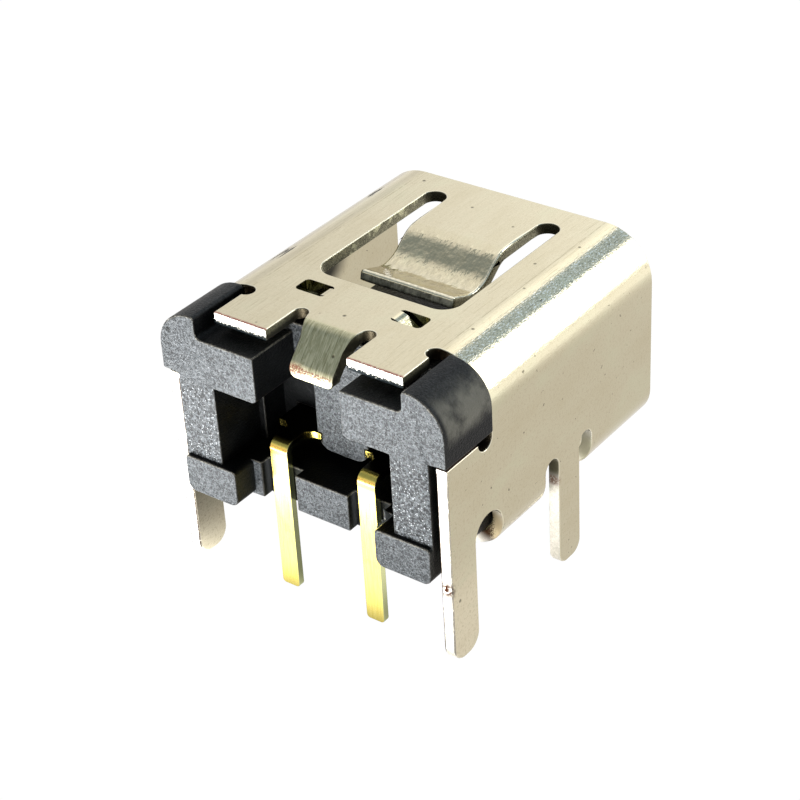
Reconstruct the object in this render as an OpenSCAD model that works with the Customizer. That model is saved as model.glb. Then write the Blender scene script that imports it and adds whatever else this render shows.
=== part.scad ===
// Right-angle charging socket for a circuit board: a folded sheet shell around a moulded housing
// that holds two contacts. The pins' tips are at z = 0, the mouth faces +Y and the pins are at the rear.

/* [Shell] */
// Outer width of the shell
shell_w = 8; // [7.4:0.1:10]
// Outer height of the shell's section
shell_h = 5.25; // [5:0.05:6.5]
// Depth of the shell, from the rear edge of its legs to the mouth
shell_d = 8.65; // [8.3:0.05:11]
// Height of the shell's underside above the pins' tips
stand_h = 2.13; // [1.2:0.01:3]
// Thickness of the sheet
sheet_t = 0.3; // [0.2:0.05:0.35]
// Outer radius of the two bends along the roof
roof_bend_r = 1.3; // [0.9:0.1:1.5]
// Outer radius of the two bends along the floor
floor_bend_r = 0.9; // [0.6:0.1:1.1]
// Width of the butt seam along the middle of the floor
seam_w = 0.06; // [0.02:0.02:0.2]

/* [Rear of the shell] */
// Setback of the roof from the rear edge of the legs
roof_setback = 1.73; // [1.6:0.01:2]
// Setback of the floor from the rear edge of the legs
floor_setback = 2.05; // [1.8:0.05:2.4]
// Height of the rear walls above the shell's underside
rear_wall_h = 3.45; // [3.2:0.05:3.6]
// Radius of the relief where each rear wall meets the roof's rear edge
wall_relief_r = 0.26; // [0.1:0.02:0.3]
// Radius of the relief at the outer root of each flat tongue
tongue_relief_r = 0.2; // [0.1:0.05:0.25]
// Width of each flat tongue that reaches back over the housing
flat_tongue_w = 1.55; // [1.2:0.01:1.6]
// Length of the flat tongues beyond the roof's rear edge
flat_tongue_l = 1.4; // [1:0.05:1.6]
// Width of the centre tab that is bent down
tab_w = 1.24; // [0.8:0.02:1.4]
// Width of the slot between the centre tab and each flat tongue
tab_slot_w = 0.52; // [0.4:0.02:0.6]
// Width of the round notch at the foot of each slot, which leaves the tab wider at its root
tab_notch_w = 0.36; // [0.2:0.02:0.4]
// Distance from the core's middle face forward to the line where the centre tab starts to bend
tab_lead = 0.03; // [0.01:0.01:0.04]
// Inner radius of the centre tab's first bend
tab_bend_r = 0.2; // [0.16:0.02:0.3]
// Angle of the centre tab's ramp down from the roof
tab_ramp_angle = 47; // [40:1:60]
// Straight length of the centre tab's ramp
tab_ramp_l = 0.74; // [0.5:0.02:0.8]
// Inner radius of the bend at the foot of the centre tab's ramp
tab_end_r = 0.06; // [0.04:0.02:0.1]
// Straight length of the centre tab's upright end
tab_end_l = 0.15; // [0.1:0.01:0.25]
// Corner radius of the centre tab's end
tab_corner_r = 0.18; // [0.1:0.02:0.3]

/* [Spring in the roof] */
// Width of the strip of roof behind the window around the spring
roof_strip_w = 1.37; // [1.3:0.01:1.6]
// Width of the strip of roof between the mouth and the round ends of the window's slots
roof_front_w = 0.75; // [0.55:0.05:1.25]
// Corner radius at the rear of the window
window_corner_r = 0.5; // [0.2:0.05:0.8]
// Width of the spring
spring_w = 2.74; // [2:0.02:3]
// Width of the slot on each side of the spring
spring_slot_w = 0.6; // [0.3:0.02:0.7]
// Length of the spring's flat root behind the slots' round centres
spring_root_l = 1.25; // [1:0.05:1.5]
// Inner radius of the spring's first bend
spring_bend_r = 0.6; // [0.3:0.05:0.9]
// Angle of the spring's ramp down from the roof
spring_ramp_angle = 36; // [20:1:40]
// Straight length of the ramp
spring_ramp_l = 0.35; // [0.2:0.05:0.7]
// Inner radius of the bend at the bottom of the spring
spring_valley_r = 0.9; // [0.3:0.05:1]
// Angle of the spring's end up from the level
spring_lift_angle = 20; // [10:1:30]
// Straight length of the spring's end
spring_lift_l = 0.62; // [0.4:0.02:0.8]

/* [Barbs in the roof] */
// Width of each barb's window across the shell
barb_window_w = 0.85; // [0.7:0.05:1]
// Length of each barb's window along the shell
barb_window_l = 0.52; // [0.4:0.02:0.6]
// Distance between the centres of the two windows
barb_pitch = 2.75; // [2.4:0.05:3]
// Width of the bridge between the barbs' windows and the spring's window
barb_bridge_w = 0.41; // [0.3:0.01:0.6]
// Corner radius of the windows
barb_corner_r = 0.12; // [0.05:0.01:0.2]
// Angle that each barb is bent down
barb_angle = 35; // [20:1:45]
// Straight length of each barb
barb_l = 0.5; // [0.3:0.05:0.55]
// Inner radius of the barb's bend
barb_bend_r = 0.08; // [0.04:0.02:0.12]
// Gap on each side of a barb in its window
barb_side_gap = 0.08; // [0.04:0.01:0.12]

/* [Legs] */
// Height of the legs' tips above the pins' tips
leg_lift = 0.2; // [0:0.02:0.6]
// Width of the rear legs
rear_leg_w = 0.98; // [0.7:0.02:1.2]
// Corner radius of the rear legs' tips
rear_leg_corner_r = 0.42; // [0.1:0.02:0.6]
// Height of the round relief in front of the rear legs, above the shell's underside
rear_relief_h = 1.43; // [1.42:0.01:1.8]
// Setback of the front legs' centres from the rear edge of the rear legs
front_leg_setback = 4.87; // [4.4:0.01:5.4]
// Width of the front legs
front_leg_w = 0.92; // [0.7:0.02:1.2]
// Corner radius of the front legs' tips
front_leg_corner_r = 0.34; // [0.1:0.02:0.6]
// Width of the relief on each side of the front legs
front_relief_w = 0.54; // [0.3:0.02:0.6]
// Height of the reliefs beside the front legs, above the shell's underside
front_relief_h = 1.35; // [1.32:0.01:1.8]

/* [Housing] */
// Clearance between the housing and the shell
fit_gap = 0.03; // [0.01:0.01:0.06]
// Reach of the ears and columns behind the legs' rear edge
ear_reach = 0.12; // [0:0.01:0.2]
// Drop of the ears' lips below the roof's upper face
lip_drop = 0.02; // [0.01:0.01:0.2]
// Corner radius of the ears' lips
ear_corner_r = 1; // [0.6:0.05:1.1]
// Gap beneath the flat tongues, down to the ears' recesses
recess_gap = 0.27; // [0.1:0.01:0.35]
// Gap beside each flat tongue, out to the lip's inner wall
lip_gap = 0.25; // [0.1:0.01:0.3]
// Corner radius along the top of the lip's inner wall
lip_round_r = 0.1; // [0.02:0.01:0.2]
// Fillet at the foot of the lip's inner wall
lip_fillet_r = 0.15; // [0.05:0.01:0.25]
// Setback of each ear's inner end from the flat tongue's inner edge
ear_inset = 0.1; // [0.05:0.01:0.4]
// Corner radius below each ear's inner end
ear_end_r = 0.15; // [0.05:0.01:0.4]
// How far the ears stand out past the shell's sides
ear_proud = 0.06; // [0:0.01:0.15]
// Height of the slanted underside of the ears above the rear walls
ear_slant_h = 0.12; // [0.08:0.01:0.2]
// Gap between the columns and the rear walls beside them
column_gap = 0.1; // [0.03:0.01:0.2]
// Width of the columns below the ears
column_w = 1.07; // [0.8:0.01:1.1]
// Reach of the lower blocks behind the legs' rear edge
block_reach = 0.25; // [0.2:0.01:0.4]
// Width of the lower blocks
block_w = 1.55; // [1.3:0.01:1.6]
// Height of the lower blocks and the beam between them
base_h = 1; // [0.7:0.02:1.1]
// Corner radius of the lower blocks
block_corner_r = 0.22; // [0.05:0.01:0.4]
// Setback of the beam between the lower blocks
beam_setback = 0.44; // [0.3:0.01:0.5]
// Setback of the core's middle face
core_setback = 1.35; // [1.2:0.01:1.5]
// Width of the core's middle face between the contacts' pockets
core_rib_w = 1.5; // [1:0.05:1.7]
// Gap between the base and the core's middle face
core_rib_gap = 0.3; // [0.1:0.02:0.45]
// Corner radius of the core's middle face
core_rib_r = 0.4; // [0.1:0.02:0.5]
// Setback of the pockets' floors
pocket_setback = 2.1; // [1.9:0.05:2.3]
// Width of the step between each pocket and the column beside it
pocket_step_w = 0.18; // [0:0.01:0.4]
// Setback of the core's front face
core_front = 3; // [2.75:0.05:3.05]
// Width of the tongue in the mouth
blade_w = 4.8; // [4.2:0.1:6]
// Thickness of the tongue in the mouth
blade_h = 1.4; // [0.7:0.05:1.5]
// Setback of the tongue's tip from the mouth
blade_inset = 2.3; // [1:0.05:3]
// Chamfer along the tip of the tongue
blade_chamfer = 0.2; // [0.05:0.05:0.3]
// Clearance around each barb in its pocket
barb_clear = 0.08; // [0.04:0.01:0.12]

/* [Contacts] */
// Distance between the two contacts
contact_pitch = 2.58; // [2.4:0.02:2.8]
// Width of each contact
contact_w = 0.52; // [0.4:0.02:0.6]
// Thickness of each contact
contact_t = 0.2; // [0.1:0.02:0.24]
// Height of the contacts' upper face above the shell's underside
contact_h = 2.05; // [1.9:0.01:2.3]
// Setback of the pins' rear face
pin_setback = 0.51; // [0.45:0.01:0.56]
// Inner radius of the contacts' bend
contact_bend_r = 0.08; // [0.04:0.02:0.3]
// Corner radius of the pins' tips
pin_corner_r = 0.1; // [0.02:0.02:0.18]
// How far each contact stands proud of the tongue
contact_proud = 0.1; // [0.02:0.02:0.16]
// Distance from the tongue's tip to the contacts' front ends
contact_inset = 0.25; // [0.1:0.05:0.5]
// Width of each contact across its shoulders, which the core holds
shoulder_w = 1.28; // [0.9:0.02:1.4]
// Width of the face at the rear of each shoulder
shoulder_face_w = 0.2; // [0.05:0.01:0.3]
// Length of the shoulders
shoulder_l = 1.2; // [0.9:0.05:1.5]
// Length over which each contact widens behind its shoulders
shoulder_flare_l = 0.15; // [0.05:0.01:0.4]
// Clearance on each side of a contact where it passes through the core
slot_gap = 0.02; // [0.01:0.01:0.04]
// Room on each side of a pin where it passes the beam
pin_room = 0.25; // [0.1:0.01:0.3]

/* [Hidden] */
$fn = 64;

// How far cutting shapes run past what they cut, how far joined sheets run into one another, and how far
// each straight length of a bent strip runs back into the bend before it
overrun = 1;
lap = 0.1;
weld = 0.02;

half_w = shell_w / 2;
inner_w = shell_w - 2 * sheet_t;
roof_top = stand_h + shell_h;
roof_under = roof_top - sheet_t;
floor_top = stand_h + sheet_t;
rear_wall_top = stand_h + rear_wall_h;
rear_shift = (block_reach - shell_d) / 2;

flat_tongue_in = tab_w / 2 + tab_slot_w;
flat_tongue_out = flat_tongue_in + flat_tongue_w;
flat_tongue_setback = roof_setback - flat_tongue_l;
tab_start = core_setback + tab_lead;
tab_root_l = roof_setback - tab_start;
tab_path = [
    [lap, -tab_ramp_angle, tab_bend_r],
    [tab_ramp_l, tab_ramp_angle - 90, tab_end_r],
    [tab_end_l, 0, 0]
];
tab_bend_drop = tab_bend_r * (1 - cos(tab_ramp_angle)) + tab_end_r * cos(tab_ramp_angle);
tab_end_z = roof_under - tab_bend_drop - tab_ramp_l * sin(tab_ramp_angle) - tab_end_l;
tab_notch_r = tab_notch_w / 2;
tab_root_w = 2 * (flat_tongue_in - tab_notch_w);
window_w = spring_w + 2 * spring_slot_w;
window_setback = roof_setback + roof_strip_w;
spring_root = shell_d - roof_front_w - spring_slot_w / 2;
spring_path = [
    [lap + spring_root_l, -spring_ramp_angle, spring_bend_r],
    [spring_ramp_l, spring_ramp_angle + spring_lift_angle, spring_valley_r],
    [spring_lift_l, 0, 0]
];
barb_setback = window_setback - barb_bridge_w - barb_window_l / 2;
barb_hinge = (barb_pitch - barb_window_w) / 2;
barb_tip = barb_hinge + (barb_bend_r + sheet_t) * sin(barb_angle) + barb_l * cos(barb_angle);
barb_drop = (barb_bend_r + sheet_t) * (1 - cos(barb_angle)) + barb_l * sin(barb_angle) + sheet_t;

base_bottom = floor_top + fit_gap;
base_top = base_bottom + base_h;
core_w = inner_w - 2 * fit_gap;
core_h = shell_h - 2 * sheet_t - 2 * fit_gap;
recess_z = roof_under - recess_gap;
lip_z = roof_top - lip_drop;
lip_in = flat_tongue_out + lip_gap;
ear_in = flat_tongue_in + ear_inset;
ear_out = half_w + ear_proud;
column_out = inner_w / 2 - column_gap;
column_in = column_out - column_w;
pocket_w = 2 * (column_in - pocket_step_w);
contact_top = stand_h + contact_h;
contact_under = contact_top - contact_t;
blade_under = contact_under + contact_proud;
blade_tip = shell_d - blade_inset;
contact_tip = blade_tip - contact_inset;
pin_slot_w = contact_w + 2 * pin_room;

// A flat outline of Y across and Z up, carried along X from one place to another
module along_x(from, to) {
    translate([from, 0, 0]) rotate([90, 0, 90]) linear_extrude(to - from) children();
}

// A flat outline of X across and Z up, carried along Y from one place to another
module along_y(from, to) {
    translate([0, to, 0]) rotate([90, 0, 0]) linear_extrude(to - from) children();
}

// A flat outline of X and Y, carried along Z from one place to another
module along_z(from, to) {
    translate([0, 0, from]) linear_extrude(to - from) children();
}

// The same shape on the right and on the left
module both_sides() {
    for (side = [0, 1]) mirror([side, 0, 0]) children();
}

// What a round corner takes away from a square one, with the material at -x and -y
module corner_cut(r) {
    difference() {
        translate([-r, -r]) square(r + overrun);
        translate([-r, -r]) circle(r);
    }
}

// The outline of a tube with round corners, standing on y = 0
module section(w, h, top_r, floor_r) {
    difference() {
        translate([-w / 2, 0]) square([w, h]);
        for (side = [0, 1]) mirror([side, 0]) {
            translate([w / 2, h]) corner_cut(top_r);
            translate([w / 2, 0]) mirror([0, 1]) corner_cut(floor_r);
        }
    }
}

// A strap whose end at y = 0 has round corners
module strap(w, h, r) {
    difference() {
        translate([-w / 2, 0]) square([w, h]);
        for (side = [0, 1]) mirror([side, 0]) translate([w / 2, 0]) mirror([0, 1]) corner_cut(r);
    }
}

// Part of a ring between two angles that are less than a half turn apart
module ring_part(r_in, r_out, a_from, a_to) {
    reach = 2 * r_out / cos((a_to - a_from) / 4);
    intersection() {
        difference() {
            circle(r_out);
            circle(r_in);
        }
        polygon([
            [0, 0],
            reach * [cos(a_from), sin(a_from)],
            reach * [cos((a_from + a_to) / 2), sin((a_from + a_to) / 2)],
            reach * [cos(a_to), sin(a_to)]
        ]);
    }
}

// The edge view of a bent strip that starts along +x. Each step of the path is a straight length,
// the angle of the bend after it, up or down, and that bend's inner radius.
module bent_strip(path, t, step = 0) {
    if (step < len(path)) {
        run = path[step][0];
        turn = path[step][1];
        r = path[step][2];
        translate([-weld, 0]) square([weld + run, t]);
        if (turn > 0) translate([run, t + r]) {
            ring_part(r, r + t, -90, turn - 90);
            rotate(turn) translate([0, -t - r]) bent_strip(path, t, step + 1);
        }
        if (turn < 0) translate([run, -r]) {
            ring_part(r, r + t, 90 + turn, 90);
            rotate(turn) translate([0, r]) bent_strip(path, t, step + 1);
        }
    }
}

// The folded tube before it is cut
module shell_tube() {
    along_y(0, shell_d) translate([0, stand_h]) difference() {
        section(shell_w, shell_h, roof_bend_r, floor_bend_r);
        translate([0, sheet_t])
            section(inner_w, shell_h - 2 * sheet_t, roof_bend_r - sheet_t, floor_bend_r - sheet_t);
    }
}

// The space above the rear walls, where the roof is set back
module rear_roof_cut() {
    along_x(-half_w - overrun, half_w + overrun) {
        translate([-overrun, rear_wall_top]) square([overrun + roof_setback, shell_h]);
        translate([roof_setback - wall_relief_r, rear_wall_top]) circle(wall_relief_r);
    }
}

// The space below the rear walls, with a round relief in front of each rear leg
module rear_floor_cut() {
    relief_r = (floor_setback - rear_leg_w) / 2;
    relief_z = stand_h + rear_relief_h - relief_r;
    along_x(-half_w - overrun, half_w + overrun) {
        translate([-overrun, 0]) square([overrun + floor_setback, relief_z]);
        translate([rear_leg_w + relief_r, relief_z]) circle(relief_r);
    }
}

// The gap that each front leg leaves in the floor, with a round relief on each side of the leg
module front_leg_cut() {
    relief_r = front_relief_w / 2;
    relief_z = stand_h + front_relief_h - relief_r;
    cut_w = front_leg_w + 2 * front_relief_w;
    along_x(half_w - relief_z, half_w + overrun) translate([front_leg_setback, 0]) {
        translate([-cut_w / 2, 0]) square([cut_w, relief_z]);
        for (end = [-1, 1]) translate([end * (cut_w / 2 - relief_r), relief_z]) circle(relief_r);
    }
}

// The two legs on the right-hand side
module right_legs() {
    tip_to_floor = stand_h - leg_lift;
    rear_r = min(rear_leg_corner_r, rear_leg_w / 2);
    front_r = min(front_leg_corner_r, front_leg_w / 2);
    along_x(half_w - sheet_t, half_w) translate([0, leg_lift]) {
        translate([rear_leg_w / 2, 0]) strap(rear_leg_w, tip_to_floor + rear_relief_h, rear_r);
        translate([front_leg_setback, 0]) strap(front_leg_w, tip_to_floor + front_relief_h, front_r);
    }
}

// Openings in the roof: the spring's window with its two slots, and the barbs' windows
module roof_openings() {
    slot_r = spring_slot_w / 2;
    along_z(roof_under - lap, roof_top + overrun) {
        difference() {
            translate([-window_w / 2, window_setback]) square([window_w, spring_root - window_setback]);
            for (side = [0, 1]) mirror([side, 0])
                translate([window_w / 2, window_setback]) mirror([0, 1]) corner_cut(window_corner_r);
        }
        for (side = [-1, 1]) {
            translate([side * (window_w / 2 - slot_r), spring_root]) circle(slot_r);
            translate([side * barb_pitch / 2, barb_setback - barb_window_l / 2])
                section(barb_window_w, barb_window_l, barb_corner_r, barb_corner_r);
        }
    }
}

// The flat tongues that reach back from the roof, with a round relief at each outer root
module flat_tongues() {
    both_sides() along_z(roof_under, roof_top) difference() {
        translate([flat_tongue_in, flat_tongue_setback]) square([flat_tongue_w, flat_tongue_l + lap]);
        translate([flat_tongue_out, roof_setback - tongue_relief_r]) circle(tongue_relief_r);
    }
}

// The root of the centre tab, with round notches beside it
module tab_root() {
    along_z(roof_under, roof_top) difference() {
        translate([-flat_tongue_in - lap, tab_start])
            square([2 * (flat_tongue_in + lap), tab_root_l + lap]);
        for (side = [-1, 1]) translate([side * (flat_tongue_in - tab_notch_r), tab_start])
            circle(tab_notch_r);
    }
}

// The centre tab, bent down behind the core, narrower past its root and with round corners at its end
module centre_tab() {
    taper_end = tab_start - tab_bend_r - sheet_t;
    intersection() {
        along_x(-tab_root_w / 2, tab_root_w / 2) translate([tab_start + lap, roof_under]) mirror([1, 0])
            bent_strip(tab_path, sheet_t);
        along_z(0, roof_top + overrun) polygon([
            [-tab_root_w / 2, tab_start + overrun],
            [-tab_root_w / 2, tab_start],
            [-tab_w / 2, taper_end],
            [-tab_w / 2, -overrun],
            [tab_w / 2, -overrun],
            [tab_w / 2, taper_end],
            [tab_root_w / 2, tab_start],
            [tab_root_w / 2, tab_start + overrun]
        ]);
        union() {
            along_y(-overrun, shell_d) translate([0, tab_end_z])
                strap(tab_w, shell_h, tab_corner_r);
            along_y(taper_end, shell_d) translate([-half_w, 0])
                square([shell_w, roof_top + overrun]);
        }
    }
}

// The spring, bent down into the mouth and up again at its end
module roof_spring() {
    along_x(-spring_w / 2, spring_w / 2) translate([spring_root + lap, roof_under]) mirror([1, 0])
        bent_strip(spring_path, sheet_t);
}

// The two barbs, hinged at the inner edges of their windows
module barbs() {
    barb_w = barb_window_l - 2 * barb_side_gap;
    both_sides() along_y(barb_setback - barb_w / 2, barb_setback + barb_w / 2)
        translate([barb_hinge - lap, roof_under])
        bent_strip([[lap, -barb_angle, barb_bend_r], [barb_l, 0, 0]], sheet_t);
}

// The butt seam along the middle of the floor
module floor_seam() {
    translate([-seam_w / 2, -overrun, stand_h - overrun])
        cube([seam_w, shell_d + 2 * overrun, overrun + 2 * sheet_t]);
}

// The folded shell
module shield_shell() {
    color("wheat") translate([0, rear_shift, 0]) {
        difference() {
            shell_tube();
            rear_roof_cut();
            rear_floor_cut();
            both_sides() front_leg_cut();
            roof_openings();
            floor_seam();
        }
        both_sides() right_legs();
        flat_tongues();
        tab_root();
        centre_tab();
        roof_spring();
        barbs();
    }
}

// The outline of the right ear with the column and the lip above it
module ear_outline() {
    difference() {
        translate([ear_in, rear_wall_top]) square([ear_out - ear_in, lip_z - rear_wall_top]);
        translate([ear_in, rear_wall_top]) rotate(180) corner_cut(ear_end_r);
        translate([ear_out, lip_z]) corner_cut(ear_corner_r);
        translate([lip_in, lip_z]) mirror([1, 0]) corner_cut(lip_round_r);
        difference() {
            translate([ear_in - overrun, recess_z]) square([lip_in - ear_in + overrun, shell_h]);
            translate([lip_in, recess_z]) mirror([0, 1]) corner_cut(lip_fillet_r);
        }
        polygon([
            [column_out - ear_slant_h, rear_wall_top],
            [column_out, rear_wall_top + ear_slant_h],
            [ear_out + overrun, rear_wall_top + ear_slant_h],
            [ear_out + overrun, rear_wall_top - overrun],
            [column_out - ear_slant_h, rear_wall_top - overrun]
        ]);
    }
}

// The ears, the columns that carry them and the blocks below the columns
module rear_frame() {
    both_sides() {
        along_y(-ear_reach, roof_setback - fit_gap) ear_outline();
        along_y(-ear_reach, core_front) translate([column_in, base_top - lap])
            square([column_w, rear_wall_top - base_top + 2 * lap]);
        along_y(-block_reach, beam_setback + lap) translate([column_out - block_w / 2, base_bottom])
            section(block_w, base_h, block_corner_r / 2, block_corner_r);
    }
    along_y(beam_setback, core_front) translate([0, base_bottom])
        section(core_w, base_h, block_corner_r / 2, floor_bend_r - sheet_t);
}

// The core that fills the shell
module core() {
    along_y(core_setback, core_front) translate([0, base_bottom])
        section(core_w, core_h, roof_bend_r - sheet_t, floor_bend_r - sheet_t);
}

// The space behind the core: two pockets for the contacts, on each side of the middle face
module pockets() {
    along_y(-overrun, pocket_setback) difference() {
        translate([-pocket_w / 2, base_top]) square([pocket_w, rear_wall_top - base_top]);
        translate([0, base_top + core_rib_gap]) strap(core_rib_w, core_h, core_rib_r);
    }
}

// The tongue in the mouth
module blade() {
    along_x(-blade_w / 2, blade_w / 2) polygon([
        [core_front - lap, blade_under],
        [blade_tip - blade_chamfer, blade_under],
        [blade_tip, blade_under + blade_chamfer],
        [blade_tip, blade_under + blade_h - blade_chamfer],
        [blade_tip - blade_chamfer, blade_under + blade_h],
        [core_front - lap, blade_under + blade_h]
    ]);
}

// One contact seen from above, with a gap around it. Its shoulders start level with the core's middle face.
module contact_plan(gap) {
    strip_half = contact_w / 2 + gap;
    shoulder_half = shoulder_w / 2 + gap;
    shoulder_end = core_setback + shoulder_l + gap;
    right = [
        [strip_half, 0],
        [strip_half, core_setback - shoulder_flare_l],
        [shoulder_half - shoulder_face_w, core_setback - gap],
        [shoulder_half, core_setback - gap],
        [shoulder_half, shoulder_end],
        [strip_half, shoulder_end],
        [strip_half, contact_tip + gap]
    ];
    left = [for (i = [len(right) - 1:-1:0]) [-right[i][0], right[i][1]]];
    polygon(concat(right, left));
}

// Room for one contact: through the core, in the tongue's underside and past the beam
module contact_room() {
    along_z(contact_under - slot_gap, contact_top + slot_gap) contact_plan(slot_gap);
    translate([-pin_slot_w / 2, -overrun, 0])
        cube([pin_slot_w, overrun + pin_setback + contact_t + slot_gap, contact_under]);
}

// Room for one barb in the core's upper face
module barb_room() {
    translate([barb_hinge - barb_clear, barb_setback - barb_window_l / 2, roof_under - barb_drop])
        cube([barb_tip - barb_hinge + 2 * barb_clear, barb_window_l, barb_drop + overrun]);
}

// The moulded housing
module insulator_housing() {
    color("dimgray") translate([0, rear_shift, 0]) difference() {
        union() {
            rear_frame();
            core();
            blade();
        }
        pockets();
        for (side = [-1, 1]) translate([side * contact_pitch / 2, 0, 0]) contact_room();
        both_sides() barb_room();
    }
}

// One contact: along the tongue, out at the rear and down as a pin
module contact() {
    bend_centre = contact_bend_r + contact_t;
    strip_l = contact_tip - pin_setback - bend_centre;
    pin_l = contact_top - bend_centre;
    intersection() {
        along_x(-shoulder_w / 2, shoulder_w / 2) translate([contact_tip, contact_under]) mirror([1, 0])
            bent_strip([[strip_l, -90, contact_bend_r], [pin_l, 0, 0]], contact_t);
        along_z(0, roof_top) contact_plan(0);
        along_y(0, shell_d) {
            strap(contact_w, roof_top, pin_corner_r);
            translate([-shoulder_w / 2, contact_under]) square([shoulder_w, contact_t]);
        }
    }
}

// The contact on the left, seen from the rear
module left_contact() {
    color("gold") translate([-contact_pitch / 2, rear_shift, 0]) contact();
}

// The contact on the right, seen from the rear
module right_contact() {
    color("gold") translate([contact_pitch / 2, rear_shift, 0]) contact();
}

shield_shell();
insulator_housing();
left_contact();
right_contact();
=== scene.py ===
# %% [markdown]
# # A charging port connector, dressed for its photograph
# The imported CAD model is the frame: it gives the size and place of every piece, in metres.
# This lesson adds what a drawing does not hold: softened edges, plated metal, moulded plastic, gold,
# a light table and a camera. Lengths are written in millimetres and turned into metres by one factor.

# %% Load the frame and keep its box
import math

import bmesh
import bpy
import numpy as np
from mathutils import Matrix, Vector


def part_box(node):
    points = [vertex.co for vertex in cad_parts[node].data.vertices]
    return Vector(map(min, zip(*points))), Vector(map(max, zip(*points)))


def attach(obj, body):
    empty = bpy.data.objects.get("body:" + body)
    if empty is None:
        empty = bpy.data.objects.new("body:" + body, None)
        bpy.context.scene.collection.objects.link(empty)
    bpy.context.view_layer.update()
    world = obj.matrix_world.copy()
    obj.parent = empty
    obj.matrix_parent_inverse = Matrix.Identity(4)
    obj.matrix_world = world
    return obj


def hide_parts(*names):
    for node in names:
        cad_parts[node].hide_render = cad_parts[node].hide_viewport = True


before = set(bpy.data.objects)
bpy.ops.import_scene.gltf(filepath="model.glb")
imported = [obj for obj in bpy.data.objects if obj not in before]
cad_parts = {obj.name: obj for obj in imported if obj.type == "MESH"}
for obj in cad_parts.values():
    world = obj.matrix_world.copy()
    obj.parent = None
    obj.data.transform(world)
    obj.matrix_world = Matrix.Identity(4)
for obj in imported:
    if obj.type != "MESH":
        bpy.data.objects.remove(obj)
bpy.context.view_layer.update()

MM = 0.001
scene = bpy.context.scene
for node_name in sorted(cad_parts):
    low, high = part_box(node_name)
    print(node_name, "is", [round(side / MM, 2) for side in high - low], "mm")

# %% [markdown]
# ## The camera
# A camera is a place, three axes and a lens. The place and the turn below came from matching corners of
# the connector with their pixels, so a close long lens gives the same perspective as the photograph.
# The axes are worked out from an azimuth, an elevation and a small roll, with no lens shift.

# %% Place the camera
camera_eye = np.array([25.809, -33.323, 30.766])
camera_azimuth, camera_elevation, camera_roll = np.radians([38.26, 32.602, -3.514])
camera_right = np.array([math.cos(camera_azimuth), math.sin(camera_azimuth), 0.0])
camera_back = np.array([math.sin(camera_azimuth) * math.cos(camera_elevation),
                        -math.cos(camera_azimuth) * math.cos(camera_elevation),
                        math.sin(camera_elevation)])
camera_up = np.cross(camera_back, camera_right)
rolled_right = math.cos(camera_roll) * camera_right + math.sin(camera_roll) * camera_up
rolled_up = -math.sin(camera_roll) * camera_right + math.cos(camera_roll) * camera_up

camera_matrix = np.eye(4)
camera_matrix[:3] = np.column_stack([rolled_right, rolled_up, camera_back, camera_eye * MM])
camera = bpy.data.objects.new("camera", bpy.data.cameras.new("camera"))
camera.data.lens = 92.51
camera.data.sensor_width = 36.0
camera.data.clip_start = 1.0 * MM
camera.matrix_world = Matrix(camera_matrix)
scene.collection.objects.link(camera)
scene.camera = camera
print("camera stands", round(float(np.linalg.norm(camera_eye)), 1), "mm from the middle of the foot")

# %% [markdown]
# ## Shader maths as Python
# A node tree is a sum written with wires. One small class wraps a socket, so that `1 - mask` or
# `grain * 0.2` adds its Math node, and one method makes any other node: its type, its settings, then the
# values or links of its sockets. Masks are soft steps, and colours are joined by a Mix node.


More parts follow.
